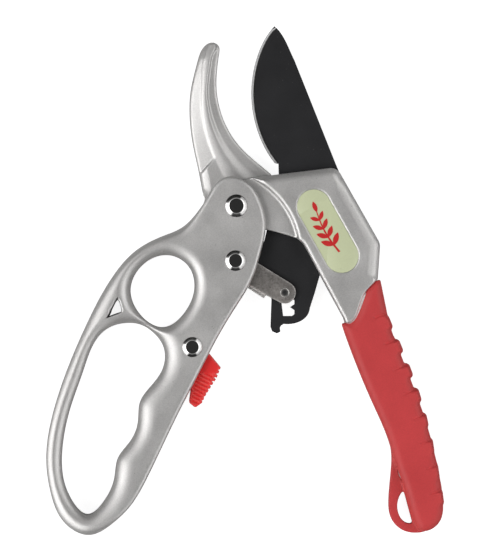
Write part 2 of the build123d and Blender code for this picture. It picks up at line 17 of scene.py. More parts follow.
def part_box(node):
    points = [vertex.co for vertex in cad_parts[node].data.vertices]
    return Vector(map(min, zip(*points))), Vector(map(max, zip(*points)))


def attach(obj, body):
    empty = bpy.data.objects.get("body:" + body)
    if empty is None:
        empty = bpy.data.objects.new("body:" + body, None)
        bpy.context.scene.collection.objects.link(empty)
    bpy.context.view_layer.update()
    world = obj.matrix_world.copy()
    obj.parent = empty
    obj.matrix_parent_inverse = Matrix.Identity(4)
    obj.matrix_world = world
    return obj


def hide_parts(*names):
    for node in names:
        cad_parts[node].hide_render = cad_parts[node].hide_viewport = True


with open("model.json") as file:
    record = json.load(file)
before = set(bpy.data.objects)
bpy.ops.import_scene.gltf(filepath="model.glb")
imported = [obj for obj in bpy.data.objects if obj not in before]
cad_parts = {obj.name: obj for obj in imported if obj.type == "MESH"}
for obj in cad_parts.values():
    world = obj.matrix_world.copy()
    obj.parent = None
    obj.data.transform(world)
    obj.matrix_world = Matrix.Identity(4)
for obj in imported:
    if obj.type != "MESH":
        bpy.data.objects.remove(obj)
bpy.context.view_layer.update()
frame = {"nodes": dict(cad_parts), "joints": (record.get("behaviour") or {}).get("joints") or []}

LOG = logging.getLogger("shears")
MM = 0.001
MID = 8.0 * MM            # height of the blade's middle plane
WELD = 1e-6               # corners closer than this, in metres, are one
SPACING = 0.25 * MM       # distance between the points of a measured outline
Pair = tuple[float, float]
Colour = tuple[float, float, float]
Mesh = bmesh.types.BMesh
Socket = bpy.types.NodeSocket
Looks = dict[str, bpy.types.Material]


# ---------------------------------------------------------------- mesh helpers
def joint_place(name: str) -> Vector:
    """Return the point that a named joint turns about.

    Args:
        name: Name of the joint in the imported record.

    Returns:
        The pivot, in metres.
    """
    found = next(j for j in frame["joints"] if j["name"] == name)
    return Vector(found["pos_m"])


def copy_of(node: str) -> Mesh:
    """Return a merged copy of a CAD node's mesh.

    Args:
        node: Name of the CAD node.

    Returns:
        A bmesh whose loose triangles share their corners.
    """
    bm = bmesh.new()
    bm.from_mesh(frame["nodes"][node].data)
    bmesh.ops.remove_doubles(bm, verts=bm.verts, dist=WELD)
    return bm


def scratch(bm: Mesh) -> bpy.types.Object:
    """Put a bmesh in a temporary object and free it.

    Args:
        bm: Mesh to move.

    Returns:
        The temporary object.
    """
    mesh = bpy.data.meshes.new("scratch")
    bm.to_mesh(mesh)
    bm.free()
    obj = bpy.data.objects.new("scratch", mesh)
    bpy.context.scene.collection.objects.link(obj)
    return obj


def settled(obj: bpy.types.Object) -> Mesh:
    """Return an object's mesh with its modifiers applied, and remove the object.

    Args:
        obj: Temporary object.

    Returns:
        The evaluated mesh.
    """
    graph = bpy.context.evaluated_depsgraph_get()
    mesh = bpy.data.meshes.new_from_object(obj.evaluated_get(graph))
    bm = bmesh.new()
    bm.from_mesh(mesh)
    bpy.data.meshes.remove(mesh)
    bpy.data.objects.remove(obj)
    return bm


def remeshed(bm: Mesh, voxel: float) -> Mesh:
    """Return the closed surface again in even facets.

    Args:
        bm: Closed mesh, which is freed.
        voxel: Size of a facet, in metres.

    Returns:
        The even mesh.
    """
    obj = scratch(bm)
    even = obj.modifiers.new("even", "REMESH")
    even.mode = "VOXEL"
    even.voxel_size = voxel
    return settled(obj)


def combined(bm: Mesh, tool: Mesh, operation: str) -> Mesh:
    """Return one closed mesh cut or kept by another.

    Args:
        bm: Mesh to work on, which is freed.
        tool: Cutting mesh, which is freed.
        operation: DIFFERENCE, INTERSECT or UNION.

    Returns:
        The result.
    """
    cutter = scratch(tool)
    obj = scratch(bm)
    cut = obj.modifiers.new("cut", "BOOLEAN")
    cut.operation = operation
    cut.solver = "EXACT"
    cut.object = cutter
    made = settled(obj)
    bpy.data.objects.remove(cutter)
    return made


def raised(bm: Mesh, height: float) -> None:
    """Give a flat sheet its thickness, with its normals outwards.

    Args:
        bm: Flat mesh, changed in place.
        height: How far its top stands above it, in metres.
    """
    risen = bmesh.ops.extrude_face_region(bm, geom=bm.faces[:])
    moved = [v for v in risen["geom"] if isinstance(v, bmesh.types.BMVert)]
    bmesh.ops.translate(bm, verts=moved, vec=(0, 0, height))
    bmesh.ops.recalc_face_normals(bm, faces=bm.faces)


def prism(outline: Sequence[Pair], low: float, top: float) -> Mesh:
    """Return an upright prism.

    Args:
        outline: Corners seen from above, in millimetres.
        low: Height of its foot, in metres.
        top: Height of its top, in metres.

    Returns:
        The closed prism.
    """
    bm = bmesh.new()
    bm.faces.new([bm.verts.new((x * MM, y * MM, low)) for x, y in outline])
    raised(bm, top - low)
    return bm


def places(bm: Mesh) -> np.ndarray:
    """Return every vertex's place, one row each."""
    return np.array([v.co[:] for v in bm.verts])


def put(bm: Mesh, where: np.ndarray) -> None:
    """Move every vertex to its row of places."""
    for vert, place in zip(bm.verts, where):
        vert.co = place


def section(node: str, height: float) -> list[np.ndarray]:
    """Return the outlines of a CAD node at one height.

    Args:
        node: Name of the CAD node.
        height: Height of the cut, in metres.

    Returns:
        One array of points for each closed outline, the longest first.
    """
    bm = copy_of(node)
    whole = bm.verts[:] + bm.edges[:] + bm.faces[:]
    cut = bmesh.ops.bisect_plane(bm, geom=whole, dist=WELD / 10, plane_co=(0, 0, height),
                                 plane_no=(0, 0, 1), clear_inner=True, clear_outer=True)
    edges = [e for e in cut["geom_cut"] if isinstance(e, bmesh.types.BMEdge)]
    seen: set[bmesh.types.BMEdge] = set()
    runs = []
    for first in edges:
        waiting, run = [first], []
        while waiting:
            edge = waiting.pop()
            if edge in seen:
                continue
            seen.add(edge)
            start, end = (v.co.xy for v in edge.verts)
            steps = max(1, int((end - start).length / SPACING))
            run += [start.lerp(end, i / steps)[:] for i in range(steps)]
            waiting += [e for v in edge.verts for e in v.link_edges if e not in seen]
        if run:
            runs.append(np.array(run))
    bm.free()
    return sorted(runs, key=len, reverse=True)


def away(points: np.ndarray, run: np.ndarray) -> tuple[np.ndarray, np.ndarray]:
    """Return how far points are from an outline, seen from above.

    Args:
        points: Places, one row each.
        run: Points of the outline.

    Returns:
        The distances, and the index of each one's nearest outline point.
    """
    tree = KDTree(len(run))
    for i, (x, y) in enumerate(run):
        tree.insert((x, y, 0), i)
    tree.balance()
    found = [tree.find((x, y, 0)) for x, y in points[:, :2]]
    return np.array([f[2] for f in found]), np.array([f[1] for f in found])


def eased(value: np.ndarray, low: float, high: float) -> np.ndarray:
    """Return 0 below low, 1 above high and a smooth step between."""
    t = np.clip((value - low) / (high - low), 0, 1)
    return t * t * (3 - 2 * t)


def faded(distance: np.ndarray, reach: float, peak: float = 1.0) -> np.ndarray:
    """Return a share that is peak at an edge and dies away over the reach."""
    return peak * np.exp(-distance / reach)


def rolled(distance: np.ndarray, wide: float | np.ndarray,
           drop: float | np.ndarray) -> np.ndarray:
    """Return how far a rounded rim has fallen.

    Args:
        distance: Distance of each point from the rim's edge.
        wide: How far in the rounding reaches.
        drop: How far the rim falls at its edge.

    Returns:
        The fall at each point.
    """
    t = np.clip(1 - distance / wide, 0, 1)
    return drop * (1 - np.sqrt(np.clip(1 - t * t, 0, 1)))


def beside_line(points: np.ndarray, start: Pair, end: Pair) -> np.ndarray:
    """Return the signed distance of points from a line, positive on its left.

    Args:
        points: Places in metres, one row each.
        start: First point of the line, in millimetres.
        end: Second point of the line, in millimetres.

    Returns:
        The distances, in metres.
    """
    dx, dy = end[0] - start[0], end[1] - start[1]
    across = dx * (points[:, 1] - start[1] * MM) - dy * (points[:, 0] - start[0] * MM)
    return across / math.hypot(dx, dy)


def squeezed(height: np.ndarray, base: np.ndarray | float, full: np.ndarray | float,
             fall: np.ndarray | float) -> np.ndarray:
    """Return half-thicknesses after the part above a base is pressed down.

    Args:
        height: Distance of each point from the middle plane.
        base: Half-thickness under which nothing moves.
        full: Half-thickness of the untouched piece.
        fall: How far the face comes down at each point.

    Returns:
        The new distances from the middle plane.
    """
    share = (full - fall - base) / (full - base)
    return np.where(height > base, base + (height - base) * share, height)


def relaxed(bm: Mesh, times: int) -> None:
    """Smooth every vertex of a mesh a few times."""
    for _ in range(times):
        bmesh.ops.smooth_vert(bm, verts=bm.verts, factor=0.5, use_axis_x=True,
                              use_axis_y=True, use_axis_z=True)


def set_rim(bm: Mesh, amount: np.ndarray) -> None:
    """Store each vertex's rim lightening, 0 to 1: wear, and painted highlight on some pieces."""
    layer = bm.verts.layers.float.new("rim")
    for vert, share in zip(bm.verts, amount):
        vert[layer] = float(share)


def piece(name: str, bm: Mesh, body: str, finishes: Sequence[bpy.types.Material],
          stands_for: Sequence[str] = (), sharp: float = 30.0) -> bpy.types.Object:
    """Make a finished piece from a bmesh.

    Args:
        name: Name of the piece.
        bm: Its mesh in place, which is freed.
        body: CAD body that it rides on.
        finishes: Materials, in the order of the faces' indices.
        stands_for: CAD nodes that it replaces.
        sharp: Angle in degrees over which an edge stays sharp.

    Returns:
        The new object.
    """
    mesh = bpy.data.meshes.new(name)
    bm.to_mesh(mesh)
    bm.free()
    for finish in finishes:
        mesh.materials.append(finish)
    mesh.shade_smooth()
    mesh.set_sharp_from_angle(angle=math.radians(sharp))
    obj = bpy.data.objects.new(name, mesh)
    bpy.context.scene.collection.objects.link(obj)
    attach(obj, body)
    if stands_for:
        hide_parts(*stands_for)
    LOG.info("%s: %d faces", name, len(mesh.polygons))
    return obj


def spun(line: Sequence[Pair], pivot: Vector, steps: int) -> Mesh:
    """Spin a half outline round an upright axis.

    Args:
        line: Radius and height of each point, from the lowest to the highest.
        pivot: A point of the axis.
        steps: Number of facets round it.

    Returns:
        The closed solid, its normals outwards.
    """
    bm = bmesh.new()
    verts = [bm.verts.new((pivot.x + r, pivot.y, z)) for r, z in line]
    edges = [bm.edges.new(pair) for pair in zip(verts, verts[1:])]
    bmesh.ops.spin(bm, geom=verts + edges, cent=(pivot.x, pivot.y, 0), axis=(0, 0, 1),
                   angle=2 * math.pi, steps=steps, use_merge=True)
    bmesh.ops.remove_doubles(bm, verts=bm.verts, dist=WELD)
    bmesh.ops.recalc_face_normals(bm, faces=bm.faces)
    return bm


def soften(obj: bpy.types.Object, width: float) -> None:
    """Add a small bevel to a piece's sharp edges.

    Args:
        obj: The piece.
        width: Width of the bevel, in metres.
    """
    bevel = obj.modifiers.new("broken_edges", "BEVEL")
    bevel.width = width
    bevel.segments = 2
    bevel.limit_method = "ANGLE"
    bevel.angle_limit = math.radians(40)
    bevel.harden_normals = True


# ---------------------------------------------------------------- shader groups
class Maker:
    """Adds nodes to one node tree with a short call."""

    def __init__(self, tree: bpy.types.NodeTree) -> None:
        """Keep the tree that nodes are added to."""
        self.tree = tree

    def node(self, kind: str, inputs: dict[str | int, object] | None = None,
             **settings: object) -> bpy.types.Node:
        """Add a node.

        Args:
            kind: Node type without its ShaderNode prefix.
            inputs: What each input takes: a number, a colour or an output to link.
            settings: Properties of the node.

        Returns:
            The node.
        """
        made = self.tree.nodes.new("ShaderNode" + kind)
        for key, value in settings.items():
            setattr(made, key, value)
        self.fill(made, inputs or {})
        return made

    def fill(self, node: bpy.types.Node, inputs: dict[str | int, object]) -> None:
        """Set a node's inputs or link outputs to them.

        Args:
            node: The node.
            inputs: What each input takes: a number, a colour or an output to link.
        """
        for key, value in inputs.items():
            target = node.inputs[key]
            if isinstance(value, Socket):
                self.tree.links.new(value, target)
            else:
                target.default_value = (*value, 1.0) if target.type == "RGBA" else value

    def noise(self, scale: float | Socket, detail: float, roughness: float = 0.55,
              where: Socket | None = None) -> Socket:
        """Add a noise pattern, in the piece's own axes if no place is given."""
        where = where or self.node("TexCoord").outputs["Object"]
        return self.node("TexNoise", {"Vector": where, "Scale": scale, "Detail": detail,
                                      "Roughness": roughness}).outputs[0]

    def ramp(self, value: Socket, low: float, high: float, to_low: float = 0.0,
             to_high: float = 1.0) -> Socket:
        """Map a value from one range to another and return the result."""
        return self.node("MapRange", {"Value": value, "From Min": low, "From Max": high,
                                      "To Min": to_low, "To Max": to_high}).outputs["Result"]

    def blend(self, share: Socket, first: Colour | Socket, second: Colour | Socket) -> Socket:
        """Mix two colours, given or linked, and return the result."""
        return self.node("Mix", {"Factor": share, 6: first, 7: second},
                         data_type="RGBA").outputs[2]

    def maths(self, operation: str, first: float | Socket, second: float | Socket = 0.0) -> Socket:
        """Add a Math node and return its value."""
        return self.node("Math", {0: first, 1: second}, operation=operation).outputs[0]

    def times(self, first: float | Socket, second: float | Socket) -> Socket:
        """Multiply two values and return the product."""
        return self.maths("MULTIPLY", first, second)

    def rim(self) -> Socket:
        """Return each vertex's rim lightening: wear, and painted highlight on some pieces."""
        return self.node("Attribute", attribute_name="rim").outputs["Fac"]


def new_group(name: str, takes: Sequence[tuple[str, str, object]],
              gives: Sequence[tuple[str, str]]) -> tuple[Maker, bpy.types.bpy_prop_collection,
                                                         bpy.types.Node]:
    """Start a shader node group with named sockets.

    Args:
        name: Name of the group.
        takes: Name, kind and value of each input.
        gives: Name and kind of each output.

    Returns:
        A maker for its nodes, the values that it is given and its output node.
    """
    tree = bpy.data.node_groups.new(name, "ShaderNodeTree")
    for label, kind, value in takes:
        socket = tree.interface.new_socket(label, in_out="INPUT", socket_type=kind)
        socket.default_value = value
    for label, kind in gives:
        tree.interface.new_socket(label, in_out="OUTPUT", socket_type=kind)
    given = tree.nodes.new("NodeGroupInput").outputs
    return Maker(tree), given, tree.nodes.new("NodeGroupOutput")


FLOAT, COLOUR = "NodeSocketFloat", "NodeSocketColor"


def grain_group() -> bpy.types.NodeTree:
    """Build the fine grain that paint, vinyl and steel share."""
    make, given, out = new_group(
        "surface_grain", [("Scale", FLOAT, 900.0), ("Blotch Scale", FLOAT, 70.0)],
        [("Height", FLOAT), ("Blotch", FLOAT)])
    broad = make.noise(given["Blotch Scale"], detail=4.0)
    make.fill(out, {"Height": make.noise(given["Scale"], detail=2.0, roughness=0.6),
                    "Blotch": make.ramp(broad, 0.3, 0.7)})
    return make.tree


def wear_and_highlight_group() -> bpy.types.NodeTree:
    """Build the rim lightening, broken up by noise: wear, and painted highlight on some pieces."""
    make, given, out = new_group(
        "edge_wear_and_highlight", [("Color", COLOUR, (0.5, 0.5, 0.5, 1)),
                      ("Wear And Highlight Color", COLOUR, (0.8, 0.8, 0.8, 1)), ("Amount", FLOAT, 0.5)],
        [("Color", COLOUR)])
    broken = make.ramp(make.noise(350.0, detail=5.0), 0.35, 0.62, 0.35, 1.0)
    # lightening along rims: wear, and painted highlight on the latch, the pin's beads and the link
    mask = make.times(make.times(make.rim(), broken), given["Amount"])
    make.fill(out, {"Color": make.blend(mask, given["Color"], given["Wear And Highlight Color"])})
    return make.tree


def speck_group() -> bpy.types.NodeTree:
    """Build the small scattered marks of dust and pits."""
    make, given, out = new_group("specks", [("Scale", FLOAT, 420.0), ("Size", FLOAT, 0.12)],
                                 [("Mask", FLOAT)])
    where = make.node("TexCoord").outputs["Object"]
    cells = make.node("TexVoronoi", {"Vector": where, "Scale": given["Scale"]})
    near = make.maths("LESS_THAN", cells.outputs["Distance"], given["Size"])
    thin = make.maths("GREATER_THAN", make.noise(90.0, detail=2.0), 0.56)
    make.fill(out, {"Mask": make.times(near, thin)})
    return make.tree


GROUPS: dict[str, bpy.types.NodeTree] = {}


class Shade(Enum):
    """How a finish is built up."""

    PAINT = "paint"
    VINYL = "vinyl"
    COATING = "coating"
    STEEL = "steel"
    GROUND = "ground"
    CHROME = "chrome"
    PLASTIC = "plastic"
    FILM = "film"


# Rim lightening by wear and painted highlight, speck size and roughness spread, each by shade.
WEAR_AND_HIGHLIGHT = {Shade.PAINT: 0.6, Shade.VINYL: 0.6, Shade.CHROME: 0.6, Shade.PLASTIC: 0.6,
        Shade.STEEL: 0.95}
SPECKS = {Shade.COATING: 0.1, Shade.PAINT: 0.07, Shade.STEEL: 0.14, Shade.FILM: 0.05}
ROUGH_SPREAD = {Shade.CHROME: 0.02, Shade.STEEL: 0.1}


@dataclass(frozen=True)
class Finish:
    """One finish of the tool, with its own colours and grain.

    Attributes:
        name: Name of the material.
        shade: How it is built up.
        colour: Main colour, linear.
        second: Colour of wear, painted highlight, scuffs or specks, linear.
        rough: Roughness.
        metal: Metallic share.
        grain: Scale of the fine grain, per metre.
        bump: Depth of the grain's relief, in metres.
        mottle: How much the colour varies.
        fine_share: Share of that variation that is fine grain, not broad patches.
        coat: Weight of a clear coat.
        specular: Specular level of a non-metal.
    """

    name: str
    shade: Shade
    colour: Colour
    second: Colour
    rough: float
    metal: float = 0.0
    grain: float = 900.0
    bump: float = 0.00002
    mottle: float = 0.1
    fine_share: float = 0.5
    coat: float = 0.0
    specular: float = 0.5

    def build(self) -> bpy.types.Material:
        """Build the material's nodes.

        Returns:
            The material.
        """
        material = bpy.data.materials.new(self.name)
        material.use_nodes = True
        make = Maker(material.node_tree)
        grain = make.node("Group", {"Scale": self.grain},
                          node_tree=GROUPS["surface_grain"]).outputs
        spread = ROUGH_SPREAD.get(self.shade, 0.05)
        rough = make.ramp(grain["Blotch"], 0.0, 1.0, self.rough - spread, self.rough + spread)
        relief = make.node("Bump", {"Strength": 1.0, "Distance": self.bump,
                                    "Height": grain["Height"]})
        make.fill(material.node_tree.nodes["Principled BSDF"], {
            "Base Color": self.marked(make, self.mottled(make, grain)), "Metallic": self.metal,
            "Roughness": rough, "Normal": relief.outputs["Normal"], "Coat Weight": self.coat,
            "Coat Roughness": 0.2, "Specular IOR Level": self.specular})
        return material

    def mottled(self, make: Maker, grain: bpy.types.bpy_prop_collection) -> Socket:
        """Vary the colour with the grain's fine and broad patterns and return it."""
        darker = tuple(c * (1 - self.mottle) for c in self.colour)
        lighter = tuple(min(1.0, c * (1 + self.mottle)) for c in self.colour)
        fine = make.times(make.ramp(grain["Height"], 0.32, 0.68), self.fine_share)
        broad = make.times(grain["Blotch"], 1 - self.fine_share)
        return make.blend(make.maths("ADD", fine, broad), darker, lighter)

    def marked(self, make: Maker, colour: Socket) -> Socket:
        """Add the wear and painted highlight, ground strip, specks or rolled lines of the shade.

        Args:
            make: Maker of the material's nodes.
            colour: The mottled colour.

        Returns:
            The finished colour.
        """
        # rims lighten: wear, and painted highlight on the latch, the pin's beads and the link
        if self.shade in WEAR_AND_HIGHLIGHT:
            wear_and_highlight_inputs = {"Color": colour, "Wear And Highlight Color": self.second, "Amount": WEAR_AND_HIGHLIGHT[self.shade]}
            colour = make.node("Group", wear_and_highlight_inputs, node_tree=GROUPS["edge_wear_and_highlight"]).outputs["Color"]
        if self.shade is Shade.GROUND:
            colour = make.blend(make.ramp(make.rim(), 0.3, 0.45), self.second, colour)
            colour = make.blend(make.ramp(make.rim(), 0.86, 0.97), colour, self.second)
        if self.shade in SPECKS:
            dots = make.node("Group", {"Size": SPECKS[self.shade]}, node_tree=GROUPS["specks"])
            dark = tuple(0.55 * c for c in self.colour)
            mark = self.second if self.shade is Shade.COATING else dark
            colour = make.blend(dots.outputs["Mask"], colour, mark)
        if self.shade is Shade.STEEL:
            where = make.node("TexCoord").outputs["Object"]
            along = make.node("Mapping", {"Vector": where, "Rotation": (0, 0, math.radians(33)),
                                          "Scale": (60.0, 1400.0, 60.0)}).outputs["Vector"]
            lines = make.ramp(make.noise(1.0, detail=4.0, where=along), 0.4, 0.65, 0.0, 0.18)
            colour = make.blend(lines, colour, tuple(0.45 * c for c in self.colour))
        return colour


FINISHES = {
    "satin_silver": Finish(
        "satin_silver_paint", Shade.PAINT, (0.60, 0.59, 0.58), (0.70, 0.69, 0.68), 0.45,
        metal=0.7, grain=2400.0, bump=0.00004, mottle=0.12, fine_share=0.7),
    "red_vinyl": Finish(
        "red_dipped_vinyl", Shade.VINYL, (0.58, 0.046, 0.049), (0.72, 0.13, 0.11), 0.55,
        grain=2200.0, bump=0.00003, mottle=0.10, specular=0.4),
    "badge_green": Finish(
        "badge_film", Shade.FILM, (0.61, 0.655, 0.42), (0.6, 0.62, 0.42), 0.35,
        grain=1500.0, bump=0.000006, mottle=0.03, coat=0.4),
    "black_coat": Finish(
        "black_non_stick", Shade.COATING, (0.0145, 0.0145, 0.016), (0.032, 0.032, 0.032), 0.5,
        grain=2600.0, bump=0.00003, mottle=0.2, specular=0.3),
    "ground_steel": Finish(
        "ground_steel", Shade.GROUND, (0.95, 0.95, 0.95), (0.01, 0.01, 0.011), 0.3,
        metal=0.5, grain=1800.0, bump=0.000006, mottle=0.04),
    # its second colour is the link's painted highlight, mixed with wear
    "worn_steel": Finish(
        "worn_grey_steel", Shade.STEEL, (0.30, 0.28, 0.265), (0.95, 0.92, 0.89), 0.42,
        metal=0.75, grain=1300.0, bump=0.00007, mottle=0.4, fine_share=0.6),
    # its second colour is the painted highlight ring on the pin's heads
    "pin_steel": Finish(
        "dark_pin_steel", Shade.STEEL, (0.035, 0.035, 0.036), (0.95, 0.92, 0.88), 0.38,
        metal=0.7, grain=1300.0, bump=0.00008, mottle=0.25),
    # its second colour is the painted highlight on the latch's edges and rib crests
    "red_plastic": Finish(
        "red_moulded_plastic", Shade.PLASTIC, (0.84, 0.026, 0.026), (1.0, 0.20, 0.17), 0.4,
        grain=1800.0, bump=0.000012, mottle=0.06, coat=0.15),
    "chrome": Finish(
        "polished_rivet", Shade.CHROME, (0.82, 0.81, 0.80), (0.9, 0.9, 0.9), 0.08,
        metal=1.0, grain=900.0, bump=0.000012, mottle=0.04),
    "bronze": Finish(
        "sintered_bronze", Shade.STEEL, (0.55, 0.35, 0.16), (0.7, 0.5, 0.3), 0.4,
        metal=1.0, grain=1800.0, bump=0.00003, mottle=0.15),
    "spring_wire": Finish(
        "spring_wire", Shade.STEEL, (0.38, 0.38, 0.38), (0.6, 0.6, 0.6), 0.3,
        metal=1.0, grain=1600.0, bump=0.00001, mottle=0.1),
    "emblem_red": Finish(
        "emblem_red_ink", Shade.FILM, (0.60, 0.02, 0.022), (0.7, 0.05, 0.05), 0.4,
        grain=1500.0, bump=0.000006, mottle=0.08),
}


# ---------------------------------------------------------------- finger handle
@dataclass
class FingerHandle:
    """Cast handle with its finger ring, closed loop and fork.

    Attributes:
        voxel: Facet size of the sculpted skin.
        half: Half its thickness over the cheeks.
        bow_half: Half the thickness of the thin bow.
        bow_line: Line left of which the bow is thinner, in millimetres.
        bow_ramp: Width of the slope down to the bow.
        bow_ease: Where the softer slope starts and ends.
        ring_round: Width and fall of the rounding round the finger ring's hole.
        hole_round: Width and fall of the rounding round the loop's hole.
        left_round: Width and fall of the rounding along the outer left side.
        left_line: Line left of which that rounding grows, in millimetres.
        window_round: Width and fall of the rounding round the small window.
        slot_side: Left side of the fork's slot, as x at each y, in millimetres.
        fork_base: Half-thickness of the fork that stays as it is, outside its slot.
        web_base: Half-thickness of the rest that stays as it is.
        skin: Least thickness that a fall leaves.
        window: Corners of the small three-cornered window, in millimetres.
        window_draft: How much wider the window is at the front than at the back.
    """

    voxel: float = 0.5 * MM
    half: float = 8.0 * MM
    bow_half: float = 5.0 * MM
    bow_line: tuple[Pair, Pair] = ((-52.0, 12.0), (-60.0, -108.0))
    bow_ramp: float = 9.0 * MM
    bow_ease: Pair = (-5.0 * MM, 22.0 * MM)
    ring_round: Pair = (5.6 * MM, 4.2 * MM)
    hole_round: Pair = (7.6 * MM, 4.6 * MM)
    left_round: Pair = (4.6 * MM, 3.2 * MM)
    left_line: tuple[Pair, Pair] = ((-14.0, 36.0), (-52.0, -104.0))
    window_round: Pair = (1.2 * MM, 0.8 * MM)
    slot_side: tuple[Pair, ...] = (
        (-79.0, -44.0), (-56.0, -33.0), (-40.0, -27.5), (-27.0, -28.0), (-19.0, -14.5),
        (2.5, -13.0), (8.0, -15.5), (40.0, -19.0))
    fork_base: float = 4.75 * MM
    web_base: float = 2.0 * MM
    skin: float = 0.35 * MM
    window: tuple[Pair, ...] = ((-54.6, -14.2), (-50.0, -12.4), (-51.3, -7.8))
    window_draft: float = 1.4

    def shape(self) -> Mesh:
        """Sculpt the handle's rims on an even copy of the casting.

        Returns:
            The sculpted mesh.
        """
        bm = remeshed(copy_of("finger_handle"), self.voxel)
        co = places(bm)
        outer, loop, ring, triangle = section("finger_handle", 3.15 * MM)[:4]
        side = -beside_line(co, *self.bow_line)
        thinner = self.half - self.bow_half
        full = self.half - thinner * np.clip(side / self.bow_ramp, 0, 1)
        wanted = self.half - thinner * eased(side, *self.bow_ease)
        ys, xs = np.array(self.slot_side).T * MM
        in_fork = co[:, 0] > np.interp(co[:, 1], ys, xs)
        base = np.where(in_fork, self.fork_base, self.web_base)
        to_outer, nearest = away(co, outer)
        soft = eased(-beside_line(outer[nearest], *self.left_line), 0.0, 9.0 * MM)
        narrow = 1 - 0.35 * eased(side, -6.0 * MM, 6.0 * MM)
        hole_wide, hole_drop = self.hole_round
        left_wide, left_drop = self.left_round
        fall = np.maximum.reduce([
            rolled(away(co, ring)[0], *self.ring_round),
            rolled(away(co, loop)[0], hole_wide * narrow, hole_drop * narrow),
            rolled(to_outer, left_wide, left_drop * soft * (wanted / self.half)),
            rolled(away(co, triangle)[0], *self.window_round)])
        fall = np.minimum(fall + full - wanted, full - base - self.skin)
        rise = co[:, 2] - MID
        co[:, 2] = MID + np.sign(rise) * squeezed(np.abs(rise), base, full, fall)
        put(bm, co)
        relaxed(bm, 3)
        bm = combined(bm, self.wedge(), "DIFFERENCE")
        co = places(bm)
        near = np.minimum.reduce([away(co, run)[0] for run in (outer, loop, ring)])
        set_rim(bm, faded(near, 0.7 * MM, 0.5))
        return bm

    def wedge(self) -> Mesh:
        """Return the solid that cuts the small window, wider at the front."""
        bm = prism(self.window, MID - self.half, MID + self.half)
        centre = sum((vert.co for vert in bm.verts), Vector()) / len(bm.verts)
        for vert in bm.verts:
            share = self.window_draft if vert.co.z > MID else 1.0
            vert.co.xy = centre.xy + (vert.co.xy - centre.xy) * share
        return bm

    def dress(self, looks: Looks) -> None:
        """Make the handle's piece."""
        piece("handle_casting", self.shape(), "handle", [looks["satin_silver"]],
              ["finger_handle"], sharp=60)


